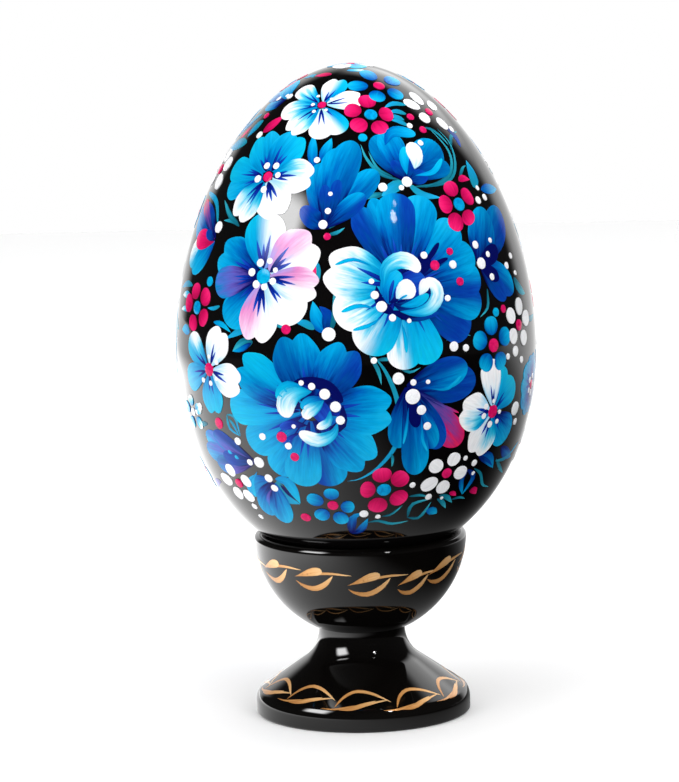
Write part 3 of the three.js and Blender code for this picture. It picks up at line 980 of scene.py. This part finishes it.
def greenery(side):
    """Leaves, stems and curls between the flowers: paint, width and path of each."""
    coat = side.coat("leaves_and_stems", 0)
    for paint, width, *spots in [
        ("teal", 0.8, (20, 119.5), (12, 120.9), (6.5, 124), (4, 127)),
        ("teal", 0.6, (17, 120.3), (11, 122), (7.5, 125.5)),
        ("teal", 0.9, (24, 118), (36, 118.2), (46, 120.3), (51, 124.3), (46, 129.3)),
        ("teal", 0.7, (30, 117.7), (42, 118.4), (50, 121), (55, 125.5), (52, 129)),
        ("sea", 2.6, (21.5, 119), (17, 118.3), (11, 116.5)),
        ("sea", 1.6, (23, 118.7), (28, 116.4), (36, 115.4)),
        ("teal", 1.4, (12, 117), (7, 116.6), (3, 116.4)),
        ("teal", 0.8, (-9.5, 109), (-6, 109.5), (-3.2, 110.5)),
        ("teal", 0.9, (-9, 110.3), (-6, 111.8), (-3.3, 114)),
        ("azure", 1.8, (-9.5, 110.8), (-6.5, 112.2), (-5.5, 114.5)),
        ("sky", 2.2, (-17, 122.5), (-19, 125), (-20.7, 129)),
        ("sky", 2.4, (-14.5, 123.8), (-12.5, 126), (-10.5, 128.2)),
        ("sky", 3.0, (-9, 89), (-12, 91.6), (-13.7, 95.6)),
        ("deep", 2.6, (-9, 89), (-8.8, 92.6), (-11.5, 94.6)),
        ("sea", 1.6, (-13, 89.8), (-16, 91), (-19.5, 91.3)), ("teal", 1.2, (-8, 89), (-6.6, 93), (-6.8, 98)),
        ("sea", 1.1, (-11.7, 100), (-12.7, 103), (-16, 104.8)),
        ("teal", 0.9, (-26.5, 91), (-24.5, 90.3), (-23, 90)),
        ("sea", 1.5, (-34.5, 89.3), (-39, 88.7), (-45, 86.8)),
        ("cyan", 1.2, (-51.5, 89.9), (-47, 89.6), (-43, 88.2)),
        ("teal", 2.4, (-34, 86.7), (-38, 86), (-42, 84.3)),
        ("azure", 1.2, (-34.5, 86.4), (-38.5, 84.9), (-42, 84.3)),
        ("teal", 1.0, (-46, 110), (-50, 110.9), (-56, 110.8)),
        ("teal", 1.2, (-47, 110.6), (-53, 112), (-60, 114.8)),
        ("sea", 0.9, (-49, 93.4), (-52, 92.7), (-55.5, 92.6)),
        ("teal", 0.9, (4, 84.3), (6.6, 81), (7.5, 78)), ("teal", 0.8, (6, 83.2), (9, 83.4), (12.5, 83.2)),
        ("sea", 1.1, (5.5, 84), (9, 80.5), (12.2, 75), (13.2, 69), (11.8, 64.3), (6.5, 60), (0.5, 57.6),
         (-4.5, 57)),
        ("teal", 0.6, (11, 63), (11.4, 61.5), (11.2, 60)),
        ("teal", 0.6, (13, 81.5), (16.5, 80.4), (20, 81.2)),
        ("teal", 0.6, (29, 86.3), (33, 87.6), (38.5, 86.8)), ("teal", 0.7, (48, 96), (47, 92.2), (43, 90.3)),
        ("sea", 0.7, (-46.3, 70.5), (-46, 67.5), (-41.6, 66)),
        ("sea", 0.7, (-46.3, 70.5), (-42.7, 70), (-41.6, 66)),
        ("sea", 0.7, (-45.5, 69.5), (-43.8, 68.3), (-42.3, 66.3)),
        ("cyan", 2.6, (-31, 57), (-26, 56.2), (-23.3, 51.5)),
        ("sea", 2.8, (-30.5, 56.5), (-29.5, 52.8), (-23.5, 51.3)),
        ("navy", 0.9, (-29.5, 55.7), (-27, 53.5), (-24.5, 52.2)),
        ("azure", 1.3, (42, 57.5), (40.5, 55), (43.8, 51.6)),
        ("azure", 1.4, (42, 57.5), (46.2, 55.5), (43.8, 51.6)),
        ("azure", 2.8, (45.5, 60.4), (51.5, 59.2), (57, 56.5)),
        ("deep", 0.8, (47, 60), (52, 58.5), (56, 57)),
        ("teal", 0.8, (45, 57.5), (50, 55.8), (54.5, 53), (61, 51.8)),
        ("teal", 0.7, (19, 52.8), (23, 52.9), (27, 52.4)),
        ("teal", 0.9, (20.3, 47.7), (21, 50.8), (28.5, 51.8)),
        ("teal", 0.9, (20.3, 47.7), (26, 47.4), (29.2, 51)),
        ("sky", 2.2, (28.3, 49), (31, 48.7), (34.3, 47.8)),
        ("teal", 1.1, (31.5, 51.5), (34.5, 50.6), (38, 48.8)),
        ("teal", 1.3, (32, 52.3), (36, 51.6), (40, 50)), ("teal", 0.7, (39, 50.8), (43, 51), (47, 50.4)),
        ("azure", 2.0, (-4, 44.3), (-2.8, 48.2), (1.5, 49.4)),
        ("azure", 1.8, (-4, 44.3), (0, 45), (3.4, 48)),
        ("teal", 0.8, (3, 47), (8, 47.3), (14, 46.4), (21.5, 46.8)),
        ("teal", 0.6, (9, 48.4), (13, 48.8), (17, 50.8)), ("teal", 2.4, (65, 97), (68, 94.5), (73, 92.8)),
        ("sea", 3.2, (56.5, 116.5), (59.5, 118.5), (60.5, 122)),
        ("teal", 0.8, (50, 119), (55, 120.7), (58, 121)), ("teal", 0.9, (53, 124.5), (60, 127), (70, 127.7)),
        ("sky", 2.4, (61, 115.8), (68, 115.6), (78, 115)), ("teal", 1.4, (72, 87.5), (77, 87.2), (82, 87.6)),
        ("azure", 2.6, (58, 61), (64, 59), (71, 57.5)), ("teal", 1.0, (57, 58.5), (63, 56), (70, 54)),
        ("sea", 0.9, (57, 58), (66, 58), (75, 60.5)), ("sea", 3.0, (-65, 126.4), (-74, 125.8), (-87, 124.2)),
        ("sea", 2.4, (-63.5, 131), (-66.5, 129.6), (-68.5, 127.4)),
        ("sea", 1.6, (-72, 132), (-77, 131), (-82, 128.8)),
        ("sky", 1.8, (-76, 130), (-81, 129.5), (-88, 127)),
        ("sea", 1.4, (-68, 96.5), (-74, 96.4), (-81, 95)),
        ("ice", 1.6, (-69, 94.3), (-73, 94.2), (-77, 93.8)),
        ("ice", 1.2, (-69.5, 91), (-73, 91.2), (-77, 90.7)),
        ("cyan", 2.2, (-66.5, 86.5), (-70, 87), (-74, 86.6)),
        ("teal", 1.2, (-58, 67.5), (-61, 67.2), (-64, 66.5)),
        ("violet", 1.6, (-64, 54), (-69, 53.5), (-75, 51.5)),
        ("crimson", 2.8, (-55.5, 128.8), (-51, 130.6), (-46.5, 132.2)),
        ("crimson", 1.6, (-73, 129.3), (-75.5, 128), (-78, 126.8)),
        ("crimson", 1.6, (48.5, 118.3), (52, 118.7), (56, 118.2)),
        ("crimson", 1.8, (47.5, 52), (50, 52.1), (53, 51)),
        ("crimson", 1.2, (36.5, 52.6), (38.5, 52.3), (40.5, 51.6)),
        ("crimson", 1.8, (-30, 140.3), (-44, 140.2), (-56, 139.8)),
        ("ice", 1.6, (-8, 141), (14, 141), (30, 140.8)),
        ("sea", 1.6, (-57, 139.6), (-64, 139.9), (-72, 139.2)),
        ("teal", 0.8, (42, 129.4), (47, 129), (51, 127.6), (53.5, 125.4)),
        ("deep", 2.0, (61, 129), (64, 127), (62.5, 124.6)),
        ("sea", 1.3, (40.2, 134.0), (31, 134.5), (22.2, 133.8)),
        ("sea", 1.3, (35.8, 132.3), (30, 133.0), (23.8, 132.8)),
        ("sea", 1.3, (32.2, 131.2), (27, 132.0), (21.2, 132.0)),
        ("sea", 1.2, (33.0, 130.0), (28, 131.1), (23.0, 131.4)),
    ]:
        coat.stroke(spots, width, paint, head=0.7, tail=1.0)
        if coat.rise > GREENERY_TOP:  # it stays under everything else
            coat.rise = Coat.LOWEST
    coat.piece("teal_paint")


def berries(side):
    """The loose drops."""
    coat = side.coat("white_berries", 2)
    for azimuth, height, radius in [
        (-8.5, 88.8, 1.5), (31.7, 85, 1.1), (36.2, 84.4, 0.8), (5.3, 83.2, 0.7), (19.5, 55.5, 0.7),
        (27.2, 52.3, 0.8), (1.7, 49.2, 1.0), (7.5, 48.4, 0.6), (44.2, 58.8, 0.8), (39.3, 60.3, 0.6),
        (62, 69.1, 1.6), (-57, 128.2, 0.9), (-16.3, 123.9, 0.7), (55.9, 113.9, 0.9), (61.3, 114.2, 0.8),
        (60, 81.7, 1.2), (55.3, 81, 0.7), (64.2, 79.5, 0.8), (-61, 71, 0.9), (-64, 69.7, 0.8),
        (-47.8, 49.5, 0.8), (63.8, 66.1, 0.8), (58.8, 116.3, 0.6), (45.3, 56.4, 0.5), (-48, 47, 0.7),
        (33.5, 51.6, 0.4), (65.2, 128.3, 0.8),
    ]:
        coat.dot((azimuth, height), radius)
    for azimuth, height, radius in [(5.5, 128.2, 1.0), (-56, 98.1, 1.1), (50.6, 90.8, 1.0)]:
        coat.dot((azimuth, height), radius, "cyan")
    coat.piece("white_paint")
    coat = side.coat("crimson_berries", 2)
    for azimuth, height, radius in [
        (-22.3, 89.7, 1.1), (-23, 48.1, 1.2), (-51, 68.2, 1.3), (54.8, 91.2, 0.9), (37.6, 131.7, 0.9),
        (-64.2, 131.9, 0.8),
    ]:
        coat.dot((azimuth, height), radius, "crimson")
    coat.piece("crimson_paint")


def ring(heart, reach, count, start):
    """Spots at even angles about a heart, all so many millimetres from it."""
    azimuth, height = heart
    radius = np.hypot(*egg_skin.at(heart)[:2])
    slope = np.interp(height, egg_skin.outline[:, 1], egg_skin.along[:, 1])
    spots = []
    for step in range(count):
        turn = math.radians(start) + 2 * math.pi * step / count
        aside, up = reach * math.sin(turn), reach * math.cos(turn)
        spots.append((azimuth + math.degrees(aside / radius), height + up * slope))
    return spots


PANSY_WIDTH = 6.6  # of all petals together, as a share of the flower's reach
PANSY_EYE = 0.16  # the eye's radius, as a share of the reach
PANSY_BEADS = 0.27  # how far out the beads are, as a share of the reach
SPRIG_PATH = ((0.8, 0), (1.2, 4), (1.55, 16))  # a leaf's spots: share of the reach, and turn in degrees
SPRIG_DROPS = 1.25  # how far out the drops are, as a share of the reach


def round_flower(name, heart, reach, paints, eye):
    """An open flower with its petals at even angles, each of the next paint, and beads about its eye."""
    dice = random.Random(name)
    spots = ring(heart, reach, len(paints), dice.uniform(0, 60))
    width = PANSY_WIDTH * reach / len(paints)
    petals = [(*spot, width, paint, 2) for spot, paint in zip(spots, paints)]
    bead_ring = ring(heart, PANSY_BEADS * reach, 5, dice.uniform(0, 60))
    beads = [(*spot, dice.uniform(0.5, 0.8)) for spot in bead_ring]
    flower(Side("seam"), name, heart, petals, veins=3, eye=(PANSY_EYE * reach, eye), beads=beads)


def sprigs(name, heart, reach, count, start):
    """Leaves that curve out from behind a flower, with a drop between each two."""
    coat = Coat(egg_skin, name)
    rings = [ring(heart, share * reach, count, start + turn) for share, turn in SPRIG_PATH]
    for leaf, spots in enumerate(zip(*rings)):
        coat.stroke(spots, 0.28 * reach, ("sea", "teal", "azure")[leaf % 3], head=0.7, tail=1.0)
    for spot in ring(heart, SPRIG_DROPS * reach, count, start + 180 / count):
        coat.dot(spot, 0.7)
    coat.piece("teal_paint")


def seams():
    """The flowers where the two sides meet, and the one on the pole."""
    for name, heart, reach, paints, eye in [
        ("right_upper_pansy", (104, 104), 7.7, ["azure", "cobalt", "sky", "azure", "cobalt", "sky"],
         "crimson"),
        ("right_high_pansy", (103, 119.5), 5.8, ["sky", "ice", "cyan", "ice", "azure"], "crimson"),
        ("right_edge_pansy", (75, 73), 7.0, ["azure", "sky", "cobalt", "azure", "sky"], "crimson"),
        ("right_back_pansy", (104, 76), 9.5, ["pink", "white", "rose", "sky", "azure"], "cyan"),
        ("left_pansy", (-98, 82), 9.2, ["cyan", "sky", "ice", "white", "ice", "sky"], "crimson"),
        ("left_high_pansy", (-99, 129), 4.8, ["sky", "azure", "cyan", "azure", "sky"], "crimson"),
    ]:
        round_flower(name, heart, reach, paints, eye)
    for name, heart, reach, count, start in [
        ("right_high_sprigs", (103, 119.5), 5.2, 6, 10), ("right_upper_sprigs", (104, 104), 7.1, 6, 30),
        ("right_back_sprigs", (104, 76), 9.5, 7, 12), ("left_sprigs", (-98, 82), 8.6, 7, 5),
        ("left_low_sprigs", (-98, 64), 5.6, 6, 20),
    ]:
        sprigs(name, heart, reach, count, start)
    for name, paint, size, heart in [
        ("right_top", "crimson", 3.6, (103, 131.5)), ("right_peak", "sky", 3.0, (106, 137.3)),
        ("right_middle", "crimson", 3.2, (96, 91)), ("right_low", "snow", 4.4, (90, 59)),
        ("right_lowest", "sky", 3.2, (104, 49)), ("left_middle", "crimson", 4.2, (-98, 64)),
        ("left_low", "sky", 3.2, (-83, 54.5)), ("left_upper", "snow", 3.6, (-97, 98)),
        ("left_high", "sky", 3.2, (-93.5, 110.5)), ("left_lowest", "snow", 3.2, (-98, 50)),
        ("left_peak", "crimson", 3.0, (-96, 138)),
    ]:
        posy(Side("seam"), name, paint, size, heart, *ring(heart, 0.85 * size, 5, 20))
    coat = Coat(egg_skin, "pole_flower", 1)
    for step, paint in enumerate(["cyan", "white", "sky", "ice", "sky", "white"]):
        azimuth = 60 * step + 25
        coat.petal((azimuth, 141.98), (azimuth, 141.3), 4.2, paint, veins=1)
    coat.dot((0, 141.99), 0.9, "crimson")
    coat.piece("blue_paint")


# ---------------------------------------------------------------- the gold leaves on the stand

BOWL_LEAVES = (
    (-69, 34.0, 0.5), (-40, 33.7, 0), (-8, 32.3, 1.0), (21, 31.8, 1.4), (40, 33.2, 2.0), (71, 33.9, 0.6),
    (103, 33.2, 0.2), (134, 33.6, -0.4), (166, 32.9, 0.6), (197, 33.4, 0.2), (228, 32.8, 1.0),
    (260, 33.6, 0),
)
CROWDED_LEAF = 3  # it is shorter than the others, because the next one starts early
FOOT_LEAVES = (
    (-81, 6.2), (-49, 6.3), (-15.5, 5.9), (19.5, 5.6), (53, 5.9), (87, 6.2), (119, 5.8), (151, 6.1),
    (183, 6.3), (215, 5.9), (247, 6.0),
)


def bowl_leaves():
    """A chain of gold leaves round the bowl: a full blade with a long stem, and a crescent under it."""
    for leaf, (start, height, climb) in enumerate(BOWL_LEAVES):
        coat = Coat(bowl_skin, f"bowl_leaf_{leaf + 1:02d}")
        reach = 0.8 if leaf == CROWDED_LEAF else 1.0

        def path(*offsets):
            return [(start + turn * reach, height + lift + climb * turn / 35) for turn, lift in offsets]

        crescent = path((0.5, -1.1), (5, -2.2), (12, -2.7), (19, -1.6), (24.5, 0.5))
        stem = path((4, 0.3), (14, 0.8), (24, 1.0), (35, 0.6))
        blade = path((0, -0.3), (7, 0.5), (13, 1.2), (18.5, 1.5))
        coat.stroke(crescent, 1.3, "gold", head=0.9, tail=0.8)
        coat.stroke(stem, 0.6, "gold", head=0.7, tail=0.8)
        coat.stroke(blade, 1.9, "gold", head=1.5, tail=0.45)
        coat.piece("gold_paint", "stand", gilding)


def foot_leaves():
    """A chain of open leaves round the foot: an arch over a wavy stem with a fuller middle."""
    for leaf, (start, height) in enumerate(FOOT_LEAVES):
        coat = Coat(flare_skin, f"foot_leaf_{leaf + 1:02d}")

        def path(*offsets):
            return [(start + turn, height + lift) for turn, lift in offsets]

        arch = path((-1, -0.6), (3, 1.1), (10, 2.1), (19, 1.9), (26, 1.1), (32, 0.1))
        stem = path((-9, -0.9), (-1, -0.9), (8, -0.5), (16, -0.2), (24, 0.3), (31, 0.5))
        fuller = path((2, -1.0), (9, -0.7), (16, -0.1), (23, 0.5))
        coat.stroke(arch, 0.85, "gold", head=0.7, tail=0.8)
        coat.stroke(stem, 0.7, "gold", head=0.9, tail=0.8)
        coat.stroke(fuller, 1.2, "gold", head=0.9, tail=1.0)
        coat.piece("gold_paint", "stand", gilding)


# ---------------------------------------------------------------- everything together


def turned_pieces():
    for node, outline, body, material, slot in [
        ("egg", egg_outline(), "egg", egg_lacquer, "egg_lacquer"),
        ("cup", cup_outline(), "stand", stand_lacquer, "stand_lacquer"),
        ("foot", foot_outline(), "stand", stand_lacquer, "stand_lacquer"),
    ]:
        piece = turn_solid("turned_" + node, outline, material)
        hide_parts(node)
        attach(piece, body)


turned_pieces()
for side in [
    Side("front"),
    Side("back", mirrored=True, wander=0.6, exchange={"pink": "ice", "violet": "plum", "ice": "rose"}),
]:
    greenery(side)
    great_blue_flower(side)
    great_round_flower(side)
    open_flowers(side)
    profile_flowers(side)
    posies(side)
    berries(side)
seams()
bowl_leaves()
foot_leaves()
